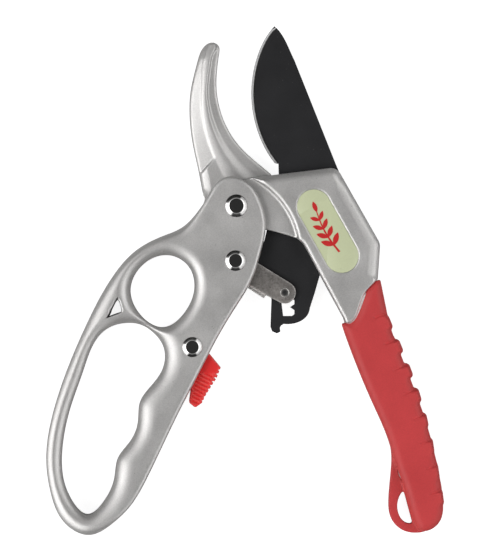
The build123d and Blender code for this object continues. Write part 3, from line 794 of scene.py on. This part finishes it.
# ---------------------------------------------------------------- main casting
@dataclass
class MainCasting:
    """Casting with the fixed jaw, the slotted head, the raised panel and the tang.

    Attributes:
        voxel: Facet size of the head.
        jaw_voxel: Facet size of the jaw.
        jaw_field: Area seen from above that holds the jaw, in millimetres.
        jaw_top: Height to which the jaw's flat top is first drawn up.
        jaw_base: Height under which the jaw's front sculpting stops.
        ridge: Middle line of the jaw, from root to tip, in millimetres.
        crest: Height of the jaw's ridge.
        shear: Height of the land that the blade passes over.
        brink: Height of the jaw's outer edge.
        crease: Height of the crease where the outer facet ends.
        step: Small step at that crease.
        crease_share: Where the crease lies across the jaw, from its outer edge.
        ridge_share: Where the ridge lies across the jaw.
        root_line: Line below which the jaw turns into the head, in millimetres.
        tip_fall: How far the ridge comes down towards the tip.
        panel_half: Half the thickness over the raised panels.
        panel_base: Half-thickness of the head that stays as it is.
        panel_side: Line that parts the panel's two long edges, in millimetres.
    """

    voxel: float = 0.42 * MM
    jaw_voxel: float = 0.34 * MM
    jaw_field: tuple[Pair, ...] = (
        (-32.0, 29.0), (-14.0, 29.0), (-12.0, 36.0), (-7.0, 38.5), (2.3, 41.15), (13.5, 42.55),
        (13.5, 110.0), (-32.0, 110.0))
    jaw_top: float = 8.9 * MM
    jaw_base: float = 3.0 * MM
    ridge: tuple[Pair, ...] = (
        (-4.0, 38.0), (-9.0, 43.0), (-13.0, 48.5), (-16.0, 56.0), (-17.0, 64.0), (-17.4, 72.0),
        (-16.6, 80.0), (-15.2, 87.0), (-13.2, 93.6), (-12.9, 96.5))
    crest: float = 7.55 * MM
    shear: float = 6.35 * MM
    brink: float = 5.3 * MM
    crease: float = 6.75 * MM
    step: float = 0.28 * MM
    crease_share: float = 0.41
    ridge_share: float = 0.62
    root_line: tuple[Pair, Pair] = ((-18.4, 42.2), (-11.4, 50.2))
    tip_fall: float = 1.5 * MM
    panel_half: float = 7.2 * MM
    panel_base: float = 4.5 * MM
    panel_side: tuple[Pair, Pair] = ((16.0, 40.9), (49.0, -17.0))

    def jaw_front(self, co: np.ndarray, to_outer: np.ndarray, to_inner: np.ndarray) -> np.ndarray:
        """Return the height of the jaw's front face: two facets, a ridge and the land.

        Args:
            co: Places on the jaw, one row each.
            to_outer: Distance of each from the jaw's outer edge.
            to_inner: Distance of each from its cutting side.

        Returns:
            The height over each place.
        """
        wide = to_outer + to_inner
        across = to_outer / wide
        share = self.crease_share - 0.13 * eased(co[:, 1], 76 * MM, 90 * MM)
        facet = self.brink + (self.crease - self.brink) * np.clip(across / share, 0, 1) ** 0.9
        second = np.clip((across - share) / (self.ridge_share - share), 0, 1)
        foot = self.crease + self.step
        upper = foot + (self.crest - self.crease - self.step) * np.sin(second * math.pi / 2)
        on_facet = eased(across, share - 0.012, share + 0.012)
        outside = facet * (1 - on_facet) + upper * on_facet
        root = eased(beside_line(co, *self.root_line), -0.3 * MM, 0.3 * MM)
        smooth = self.crest - rolled(to_outer, 9.0 * MM, 2.8 * MM)
        outside = outside * root + np.minimum(smooth, upper) * (1 - root)
        land = np.minimum(3.5 * MM, 0.31 * wide)
        slope = np.maximum(wide * (1 - self.ridge_share) - land, 0.4 * MM)
        past = np.clip((to_outer - self.ridge_share * wide) / slope, 0, 1)
        inner = self.shear + (self.crest - self.shear) * (0.5 + 0.5 * np.cos(math.pi * past))
        top = np.minimum(outside, inner) - self.tip_fall * eased(co[:, 1], 88 * MM, 96 * MM)
        return top - rolled(to_inner, 1.3 * MM, 0.9 * MM) - rolled(to_outer, 1.0 * MM, 1.0 * MM)

    def jaw(self) -> Mesh:
        """Sculpt the fixed jaw.

        Returns:
            The sculpted mesh.
        """
        cut = 6.3 * MM
        bm = combined(copy_of("main_casting"), prism(self.jaw_field, -1 * MM, cut), "INTERSECT")
        for vert in bm.verts:
            if vert.co.z > cut - 0.01 * MM:
                vert.co.z = self.jaw_top
        bm = remeshed(bm, self.jaw_voxel)
        co = places(bm)
        outline = section("main_casting", 4.5 * MM)[0]
        outline = outline[outline[:, 1] > 37.0 * MM]
        xs, ys = np.array(self.ridge).T * MM
        inside = outline[:, 0] > np.interp(outline[:, 1], ys, xs)
        to_outer, to_inner = away(co, outline[~inside])[0], away(co, outline[inside])[0]
        top = self.jaw_front(co, to_outer, to_inner)
        near, base = np.minimum(to_inner, to_outer), self.jaw_base
        low = rolled(near, 1.6 * MM, 1.2 * MM)
        high, under = co[:, 2] > base, co[:, 2] < base
        co[under, 2] += low[under] * (base - co[under, 2]) / base
        co[high, 2] = base + (co[high, 2] - base) * (top[high] - base) / (self.jaw_top - base)
        put(bm, co)
        relaxed(bm, 1)
        set_rim(bm, faded(near, 0.6 * MM, 0.8))
        return bm

    def head(self) -> Mesh:
        """Sculpt the head, the panel and the tang.

        Returns:
            The sculpted mesh.
        """
        field = prism(self.jaw_field, -1 * MM, 20 * MM)
        bm = remeshed(combined(copy_of("main_casting"), field, "DIFFERENCE"), self.voxel)
        co = places(bm)
        outline = section("main_casting", 12.95 * MM)[0]
        recess = min(section("main_casting", 15.0 * MM), key=lambda run: np.ptp(run[:, 0]))
        distance, nearest = away(co, outline)
        spot = outline[nearest]
        left = beside_line(spot, *self.panel_side) < 0
        left &= spot[:, 1] < 42.3 * MM
        on_brow = eased(spot[:, 1], 37.5 * MM, 41.2 * MM) * (spot[:, 0] > 2.0 * MM)
        rim_fall = rolled(distance, 1.5 * MM, 1.2 * MM)
        chamfer = 1.1 * MM * np.clip(1 - distance / (4.6 * MM), 0, 1) ** 1.2
        chamfer *= eased(spot[:, 1], -0.5 * MM, 2.5 * MM)
        brow = 1.5 * MM * np.clip(1 - distance / (3.4 * MM), 0, 1) ** 1.2
        fall = on_brow * brow + (1 - on_brow) * np.where(left, rim_fall, chamfer)
        fall = np.maximum(fall, rolled(away(co, recess)[0], 0.5 * MM, 0.3 * MM))
        rise = co[:, 2] - MID
        pressed = squeezed(np.abs(rise), self.panel_base, self.panel_half, fall)
        co[:, 2] = MID + np.sign(rise) * pressed
        put(bm, co)
        relaxed(bm, 1)
        set_rim(bm, faded(distance, 0.6 * MM, 0.8))
        return bm

    def dress(self, looks: Looks) -> None:
        """Make the casting's two pieces."""
        silver = [looks["satin_silver"]]
        piece("head_and_panel", self.head(), "casting", silver, ["main_casting"],
              sharp=60)
        piece("fixed_jaw", self.jaw(), "casting", silver, sharp=50)


# ---------------------------------------------------------------- grip
@dataclass
class GripSleeve:
    """Dipped vinyl sleeve with thumb bumps and a hanging loop.

    Attributes:
        voxel: Facet size of the sculpted skin.
        half: Half its thickness.
        base: Half-thickness that stays as it is.
        edge_round: Width and fall of the rounding along its edges.
        notches: Outer end of the short notch above each thumb bump, in millimetres.
        notch_long: Length of a notch.
        notch_deep: Depth of a notch.
        notch_lean: Direction of a notch from its outer end, in radians.
        pitch: Distance from notch to notch.
        step_in: How far the edge falls in from one notch to the next, near the top and
            near the bottom.
    """

    voxel: float = 0.42 * MM
    half: float = 7.6 * MM
    base: float = 3.3 * MM
    edge_round: Pair = (3.4 * MM, 2.6 * MM)
    notches: tuple[Pair, ...] = (
        (57.2, -12.6), (61.4, -23.1), (65.4, -33.4), (69.2, -43.1), (72.6, -53.1), (75.4, -63.1),
        (77.9, -73.1), (79.4, -83.1))
    notch_long: float = 7.0 * MM
    notch_deep: float = 0.75 * MM
    notch_lean: float = math.radians(-158)
    pitch: float = 9.8 * MM
    step_in: Pair = (0.2 * MM, 1.0 * MM)

    def shape(self) -> Mesh:
        """Sculpt the sleeve.

        Returns:
            The sculpted mesh.
        """
        bm = remeshed(copy_of("grip_sleeve"), self.voxel)
        co = places(bm)
        distance, _ = away(co, section("grip_sleeve", 1.2 * MM)[0])
        rise = co[:, 2] - MID
        pressed = squeezed(np.abs(rise), self.base, self.half, rolled(distance, *self.edge_round))
        cos, sin = math.cos(self.notch_lean), math.sin(self.notch_lean)
        relief, shift = np.zeros(len(co)), np.zeros(len(co))
        for x, y in self.notches:
            dx, dy = co[:, 0] - x * MM, co[:, 1] - y * MM
            along, off = dx * cos + dy * sin, dy * cos - dx * sin
            held = eased(along, -2.5 * MM, -1.5 * MM)
            held *= eased(-along, -self.notch_long, -self.notch_long + 1.5 * MM)
            relief -= self.notch_deep * held * np.exp(-(off / (0.45 * MM)) ** 2)
            pad = eased(off, 0.3 * MM, 1.0 * MM) * eased(-off, -6.6 * MM, -5.0 * MM)
            relief += 0.45 * self.notch_deep * held * pad
            near, far = self.step_in
            step = near + (far - near) * eased(np.array(-y), 40.0, 70.0)
            edge = eased(-along, -3.0 * MM, -0.5 * MM)
            shift += step * edge * np.clip(off / self.pitch, 0, 1) * (off < self.pitch)
        flat = eased(np.abs(rise), self.base, 5.0 * MM)
        co[:, 2] = MID + np.sign(rise) * np.minimum(pressed + relief * flat, self.half)
        co[:, 0] += shift * cos
        co[:, 1] += shift * sin
        put(bm, co)
        relaxed(bm, 1)
        set_rim(bm, faded(distance, 1.2 * MM, 0.6))
        return bm

    def dress(self, looks: Looks) -> None:
        """Make the sleeve's piece."""
        piece("grip", self.shape(), "casting", [looks["red_vinyl"]],
              ["grip_sleeve"], sharp=70)


# ---------------------------------------------------------------- blade
@dataclass
class CuttingBlade:
    """Coated blade with a ground strip along its cutting edge.

    Attributes:
        broken: Width of the broken edges.
    """

    broken: float = 0.12 * MM

    def shape(self) -> Mesh:
        """Copy the blade and mark its ground faces."""
        bm = copy_of("blade")
        for face in bm.faces:
            tilt = face.normal.z
            ground = 0.2 < tilt < 0.97 and face.calc_center_median().y > 40 * MM
            face.material_index = 1 if ground else 0
        top = max(vert.co.z for vert in bm.verts)
        set_rim(bm, np.array([1.0 if vert.co.z < top - 0.05 * MM else 0.0 for vert in bm.verts]))
        return bm

    def dress(self, looks: Looks) -> None:
        """Make the blade's piece."""
        made = piece("coated_blade", self.shape(), "blade",
                     [looks["black_coat"], looks["ground_steel"]], ["blade"], sharp=20)
        soften(made, self.broken)


# ---------------------------------------------------------------- ratchet link
@dataclass
class RatchetLinkage:
    """Folded sheet link and its pin.

    Attributes:
        voxel: Facet size of the link.
        edge: Width of the rolled edges' painted highlight, mixed with wear.
        shank: Radius of the pin.
        head: Radius of the pin's peened heads.
        bead: Radius of the raised ring on each head.
    """

    voxel: float = 0.2 * MM
    edge: float = 0.3 * MM
    shank: float = 1.34 * MM
    head: float = 2.0 * MM
    bead: float = 1.72 * MM

    def folded(self) -> Mesh:
        """Even out the folded link; paint highlight, with wear, on its edges and lower faces.

        Returns:
            The link's mesh.
        """
        bm = remeshed(copy_of("ratchet_link"), self.voxel)
        relaxed(bm, 2)
        co = places(bm)
        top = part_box("ratchet_link")[1].z
        distance, _ = away(co, np.vstack(section("ratchet_link", top - 0.3 * MM)))
        # painted highlight mixed with wear: the rolled edges and everything below the top face are
        # lightened
        highlight_and_wear = faded(distance, self.edge)
        highlight_and_wear[co[:, 2] < top - 0.36 * MM] = 0.8
        set_rim(bm, highlight_and_wear)
        return bm

    def peened(self) -> Mesh:
        """Spin the pin with a raised ring, with painted highlight, round each head.

        Returns:
            The pin's mesh.
        """
        low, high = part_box("link_pin")
        half = [(self.shank, 0.45 * MM), (self.head, 0.45 * MM), (self.head, 0.2 * MM),
                (self.bead + 0.2 * MM, 0.06 * MM), (self.bead, 0.0),
                (self.bead - 0.15 * MM, 0.05 * MM), (self.bead - 0.3 * MM, 0.2 * MM),
                (0.5 * self.bead, 0.24 * MM), (0.0, 0.16 * MM)]
        line = [(r, low.z + depth) for r, depth in reversed(half)]
        line += [(r, high.z - depth) for r, depth in half]
        pivot = (low + high) / 2
        bm = spun(line, pivot, 64)
        co = places(bm)
        reach = np.hypot(co[:, 0] - pivot.x, co[:, 1] - pivot.y)
        # painted highlight: a light ring along each head's raised bead
        set_rim(bm, faded(np.abs(reach - self.bead), 0.3 * MM))
        return bm

    def dress(self, looks: Looks) -> None:
        """Make the link's two pieces."""
        piece("folded_link", self.folded(), "link", [looks["worn_steel"]],
              ["ratchet_link"], sharp=60)
        piece("peened_pin", self.peened(), "link", [looks["pin_steel"]],
              ["link_pin"], sharp=40)


# ---------------------------------------------------------------- latch
@dataclass
class LatchLever:
    """Moulded thumb latch with ribs.

    Attributes:
        voxel: Facet size of the sculpted skin.
        pitch: Distance from rib to rib.
        lean: Direction of the ribs, in radians.
        deep: Depth of the grooves between them.
        border: Width of the plain border round the ribs.
        border_ease: Width over which the grooves begin inside it.
        ribbed: Lowest and highest y of the ribs.
        rib_ease: Half the width over which the ribs end there.
        end: Centre of its round lower end.
        end_round: Radius of that end.
        edge_round: Width and fall of the rounding along its edges.
    """

    voxel: float = 0.2 * MM
    pitch: float = 1.5 * MM
    lean: float = math.radians(-24)
    deep: float = 0.7 * MM
    border: float = 0.7 * MM
    border_ease: float = 0.45 * MM
    ribbed: Pair = (-50.0 * MM, -37.2 * MM)
    rib_ease: float = 0.3 * MM
    end: Pair = (-19.75 * MM, -47.9 * MM)
    end_round: float = 2.75 * MM
    edge_round: Pair = (0.7 * MM, 0.35 * MM)

    def shape(self) -> Mesh:
        """Sculpt the latch: an even skin, a rounded end, ribs on both faces and painted highlight.

        Returns:
            The latch's mesh.
        """
        bm = remeshed(copy_of("latch_lever"), self.voxel)
        relaxed(bm, 2)
        co = places(bm)
        dx, dy = co[:, 0] - self.end[0], co[:, 1] - self.end[1]
        reach = np.hypot(dx, dy)
        out = (dy < 0) & (reach > self.end_round)
        co[out, 0] -= dx[out] * (1 - self.end_round / reach[out])
        co[out, 1] -= dy[out] * (1 - self.end_round / reach[out])
        rise = co[:, 2] - MID
        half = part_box("latch_lever")[1].z - MID
        distance, _ = away(co, section("latch_lever", MID + half - 0.8 * MM)[0])
        to_end = np.abs(self.end_round - np.hypot(co[:, 0] - self.end[0], dy))
        distance = np.where(dy < 0, np.minimum(distance, to_end), distance)
        across = (co[:, 1] * math.cos(self.lean) - co[:, 0] * math.sin(self.lean)) / self.pitch
        groove = (0.5 + 0.5 * np.cos(2 * math.pi * across)) ** 1.5
        (low, high), ease = self.ribbed, self.rib_ease
        held = eased(distance, self.border, self.border + self.border_ease)
        held *= eased(co[:, 1], low - ease, low + ease)
        held *= eased(-co[:, 1], -high - ease, -high + ease)
        face = eased(np.abs(rise), half - 0.7 * MM, half - 0.2 * MM)
        fall = face * (self.deep * held * groove + rolled(distance, *self.edge_round))
        co[:, 2] = MID + np.sign(rise) * (np.abs(rise) - fall)
        put(bm, co)
        # painted highlight: the latch's edges and rib crests are lightened
        set_rim(bm, faded(distance, 0.3 * MM, 0.8) + 0.55 * held * (1 - groove))
        return bm

    def dress(self, looks: Looks) -> None:
        """Make the latch's piece."""
        piece("thumb_latch", self.shape(), "latch", [looks["red_plastic"]],
              ["latch_lever"], sharp=70)


# ---------------------------------------------------------------- rivets
@dataclass
class DomedRivet:
    """One spun rivet with a domed head and a spread tail.

    Attributes:
        name: Name of the piece.
        node: CAD node that it replaces.
        centre: Joint whose pivot it sits on.
        shank: Radius of the shank.
        head: Radius of the head.
        seat: Height of the cheek's face.
        dome: How far the head stands above the cheek.
        crown_lean: Slope that grows evenly from the middle of the head, in degrees.
        brim_lean: Slope added outside the middle, in degrees.
        brim: Where that slope comes in, as shares of the radius.
        edge: Width of the small round at the head's edge.
        rings: Number of facets from the middle to that edge.
        tail: Height of the tail's end.
        steps: Number of facets round it.
    """

    name: str
    node: str
    centre: str
    shank: float
    head: float
    seat: float = 16.0 * MM
    dome: float = 1.3 * MM
    crown_lean: float = 6.0
    brim_lean: float = 29.0
    brim: Pair = (0.6, 0.72)
    edge: float = 0.06 * MM
    rings: int = 28
    tail: float = 0.2 * MM
    steps: int = 96

    def profile(self) -> list[Pair]:
        """Return the rivet's half outline as radius and height, from the tail up."""
        foot, top = self.seat - 0.02 * MM, self.seat + self.dome
        line = [(0.0, self.tail), (self.shank, self.tail), (self.shank, foot),
                (self.head - 2 * self.edge, foot), (self.head, self.seat + self.edge)]
        crown = self.head - self.edge
        shares = np.linspace(0.0, 1.0, self.rings + 1)
        slopes = np.tan(np.radians(self.crown_lean * shares
                                   + self.brim_lean * eased(shares, *self.brim)))
        means = (slopes[1:] + slopes[:-1]) / 2
        drops = np.concatenate(([0.0], np.cumsum(means))) * crown / self.rings
        drops *= min(1.0, (self.dome - 0.1 * MM) / drops[-1])
        for share, drop in zip(shares[::-1], drops[::-1]):
            line.append((crown * float(share), top - float(drop)))
        return line

    def dress(self, looks: Looks) -> None:
        """Spin the profile round the pivot and make the piece."""
        bm = spun(self.profile(), joint_place(self.centre), self.steps)
        piece(self.name, bm, "handle", [looks["chrome"]], [self.node], sharp=50)


# ---------------------------------------------------------------- badge
@dataclass
class Badge:
    """Inset badge with a generic leaf sprig.

    Attributes:
        ends: Centres of the badge's two round ends, in millimetres.
        ink: Thickness of the printed emblem.
        layer: How far each leaf lies above the stem.
        stem: Length of the sprig.
        stem_half: Half the stem's width at its middle.
        bow: How far the stem bows out.
        pairs: Number of pairs of leaves.
        leaf_long: Length of a leaf.
        leaf_wide: Width of a leaf.
        leaf_lean: Angle between a leaf and the stem, in radians.
    """

    ends: tuple[Pair, Pair] = ((27.4, 29.6), (38.5, 9.8))
    ink: float = 0.06 * MM
    layer: float = 0.012 * MM
    stem: float = 19.0 * MM
    stem_half: float = 0.38 * MM
    bow: float = 1.1 * MM
    pairs: int = 4
    leaf_long: float = 5.6 * MM
    leaf_wide: float = 2.3 * MM
    leaf_lean: float = math.radians(46)

    def leaf(self, bm: Mesh, root: Vector, lean: float, size: float) -> None:
        """Add one pointed leaf.

        Args:
            bm: Mesh that it is added to.
            root: Where the leaf leaves the stem, on the badge's own axes.
            lean: Its direction, in radians.
            size: Its size as a share of a full leaf.
        """
        made = bmesh.ops.create_circle(bm, cap_ends=True, radius=0.5, segments=28)["verts"]
        for vert in made:
            taper = 1 - abs(2 * vert.co.x) ** 2.2
            vert.co.y *= 0.45 + 0.55 * max(taper, 0.0)
        place = (Matrix.Translation(root) @ Matrix.Rotation(lean, 4, "Z")
                 @ Matrix.Diagonal((self.leaf_long * size, self.leaf_wide * size, 1, 1))
                 @ Matrix.Translation((0.5, 0, 0)))
        bmesh.ops.transform(bm, matrix=place, verts=made)

    def on_stem(self, share: float, aside: float = 0.0, lift: float = 0.0) -> Vector:
        """Return a place on the bowed stem, from -0.5 at its foot to 0.5 at its tip."""
        return Vector((share * self.stem, self.bow * math.cos(math.pi * share) + aside, lift))

    def emblem(self) -> Mesh:
        """Build the sprig: a bowed stem with pairs of leaves.

        Returns:
            The printed emblem in place.
        """
        bm = bmesh.new()
        steps = 24
        rows = []
        for i in range(steps + 1):
            share = i / steps - 0.5
            half = self.stem_half * (1.15 - 0.6 * (share + 0.5))
            rows.append([bm.verts.new(self.on_stem(share, s * half)) for s in (-1, 1)])
        for low, high in zip(rows, rows[1:]):
            bm.faces.new((low[0], high[0], high[1], low[1]))
        for i in range(self.pairs):
            for turn in (1, -1):
                root = self.on_stem(-0.32 + 0.2 * i, lift=(2 + turn) * self.layer)
                self.leaf(bm, root, turn * self.leaf_lean, 0.95 - 0.08 * i)
        tip = Vector((0.46 * self.stem, 0.1 * MM, self.layer))
        self.leaf(bm, tip, math.radians(-8), 0.8)
        (x0, y0), (x1, y1) = self.ends
        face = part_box("badge")[1].z - 0.01 * MM
        centre = Vector(((x0 + x1) / 2 * MM, (y0 + y1) / 2 * MM, face))
        turned = Matrix.Rotation(math.atan2(y0 - y1, x0 - x1), 4, "Z")
        bmesh.ops.transform(bm, matrix=Matrix.Translation(centre) @ turned, verts=bm.verts)
        raised(bm, self.ink)
        return bm

    def dress(self, looks: Looks) -> None:
        """Make the badge and its emblem."""
        plate = piece("badge_plate", copy_of("badge"), "casting",
                      [looks["badge_green"]], ["badge"])
        soften(plate, 0.15 * MM)
        piece("badge_emblem", self.emblem(), "casting", [looks["emblem_red"]])


# ---------------------------------------------------------------- small hardware kept from CAD
HARDWARE = {
    "rivet_washers": "worn_steel", "blade_pin": "worn_steel", "blade_bush": "bronze",
    "blade_washers": "worn_steel", "handle_bush": "bronze", "handle_washers": "worn_steel",
    "link_spacers": "worn_steel", "latch_washers": "worn_steel", "return_spring": "spring_wire",
    "link_spring": "spring_wire",
}


def dress_hardware(looks: Looks) -> None:
    """Give the CAD nodes that stay visible their own finish.

    Args:
        looks: Materials by name.
    """
    for node, finish in HARDWARE.items():
        mesh = frame["nodes"][node].data
        mesh.materials.clear()
        mesh.materials.append(looks[finish])
        LOG.info("%s: %s", node, finish)


# ---------------------------------------------------------------- studio
@dataclass
class Studio:
    """Floor, light and camera.

    Attributes:
        lens: Focal length of the camera, in millimetres.
        height: Height of the camera over the floor.
        aim: Point under the camera.
        floor_colour: Grey that the floor lights the tool with.
        floor_glow: Light that the floor adds for the camera alone.
        overhead: Light from straight above, round the camera.
        fill: Light from all round.
        horizon: Share of the fill that is left at the horizon.
        ends: Share of the fill that is left beyond the tool's two ends.
        left_panel: Brightness of the soft panel on the left.
        left_turn: Direction of that panel, in radians.
        right_panel: Brightness of the soft panel on the right.
    """

    lens: float = 250.0
    height: float = 1567.0 * MM
    aim: Pair = (-2.3 * MM, 0.2 * MM)
    floor_colour: Colour = (0.42, 0.42, 0.42)
    floor_glow: float = 0.9
    overhead: float = 0.03
    fill: float = 1.6
    horizon: float = 0.06
    ends: float = 0.16
    left_panel: float = 2.15
    left_turn: float = math.radians(200)
    right_panel: float = 1.05

    def floor(self) -> None:
        """Lay the pale floor."""
        bm = bmesh.new()
        bmesh.ops.create_grid(bm, x_segments=2, y_segments=2, size=3.0)
        mesh = bpy.data.meshes.new("floor")
        bm.to_mesh(mesh)
        bm.free()
        obj = bpy.data.objects.new("floor", mesh)
        obj.location.z = -0.05 * MM
        bpy.context.scene.collection.objects.link(obj)
        material = bpy.data.materials.new("pale_floor")
        material.use_nodes = True
        nodes = material.node_tree.nodes
        make = Maker(material.node_tree)
        make.fill(nodes["Principled BSDF"], {"Base Color": self.floor_colour, "Roughness": 0.9})
        matt = nodes["Principled BSDF"].outputs["BSDF"]
        glow = make.node("Emission", {"Color": (1.0, 1.0, 1.0), "Strength": self.floor_glow})
        both = make.node("AddShader", {0: matt, 1: glow.outputs["Emission"]})
        seen = make.node("LightPath").outputs["Is Camera Ray"]
        choice = make.node("MixShader", {0: seen, 1: matt, 2: both.outputs["Shader"]})
        make.fill(nodes["Material Output"], {"Surface": choice.outputs["Shader"]})
        mesh.materials.append(material)

    def sky(self) -> None:
        """Set the soft surrounding light, darker overhead than at the sides."""
        world = bpy.data.worlds.new("studio")
        world.use_nodes = True
        bpy.context.scene.world = world
        make = Maker(world.node_tree)
        where = make.node("TexCoord").outputs["Generated"]
        x, y, height = make.node("SeparateXYZ", {"Vector": where}).outputs
        from_right = make.maths("ABSOLUTE", make.maths("ARCTAN2", y, x))
        aside, ahead = math.sin(self.left_turn), math.cos(self.left_turn)
        forward = make.maths("ADD", make.times(x, ahead), make.times(y, aside))
        sideways = make.maths("SUBTRACT", make.times(y, ahead), make.times(x, aside))
        from_left = make.maths("ABSOLUTE", make.maths("ARCTAN2", sideways, forward))
        left_band = make.times(make.ramp(height, 0.26, 0.4), make.ramp(height, 0.91, 0.84))
        left = make.times(left_band, make.ramp(from_left, 0.76, 0.54, 0.0, self.left_panel))
        right_band = make.times(make.ramp(height, 0.3, 0.42), make.ramp(height, 0.72, 0.64))
        right = make.times(right_band, make.ramp(from_right, 1.15, 0.95, 0.0, self.right_panel))
        around = make.ramp(height, 0.84, 0.9, self.fill, self.overhead)
        low = make.ramp(height, 0.35, 0.6, self.horizon, 1.0)
        beside = make.ramp(make.maths("ABSOLUTE", y), 0.25, 0.6, 1.0, self.ends)
        base = make.times(make.times(around, low), beside)
        level = make.maths("ADD", base, make.maths("ADD", left, right))
        make.fill(world.node_tree.nodes["Background"],
                  {"Color": (1.0, 1.0, 1.0), "Strength": level})

    def camera(self) -> None:
        """Place the camera straight above the tool."""
        data = bpy.data.cameras.new("camera")
        data.lens = self.lens
        data.sensor_width = 36.0
        data.clip_end = 10.0
        obj = bpy.data.objects.new("camera", data)
        obj.location = (*self.aim, self.height)
        bpy.context.scene.collection.objects.link(obj)
        bpy.context.scene.camera = obj

    def build(self) -> None:
        """Build the whole studio."""
        bpy.context.scene.view_settings.view_transform = "Standard"
        self.floor()
        self.sky()
        self.camera()


# ---------------------------------------------------------------- the whole tool
def main() -> None:
    """Build every piece in order."""
    logging.basicConfig(level=logging.INFO, format="%(message)s")
    for build in (grain_group, wear_and_highlight_group, speck_group):
        tree = build()
        GROUPS[tree.name] = tree
    looks = {name: finish.build() for name, finish in FINISHES.items()}
    assemblies = [
        MainCasting(),
        FingerHandle(),
        GripSleeve(),
        CuttingBlade(),
        RatchetLinkage(),
        LatchLever(),
        DomedRivet("handle_pivot_rivet", "handle_rivet", "handle_pivot", 2.5 * MM, 4.6 * MM),
        DomedRivet("link_pivot_rivet", "link_rivet", "link_pivot", 2.0 * MM, 4.2 * MM),
        DomedRivet("latch_pivot_rivet", "latch_rivet", "latch_pivot", 2.0 * MM, 4.1 * MM),
        Badge(),
    ]
    for assembly in assemblies:
        assembly.dress(looks)
    dress_hardware(looks)
    Studio().build()


if __name__ == "__main__":
    main()
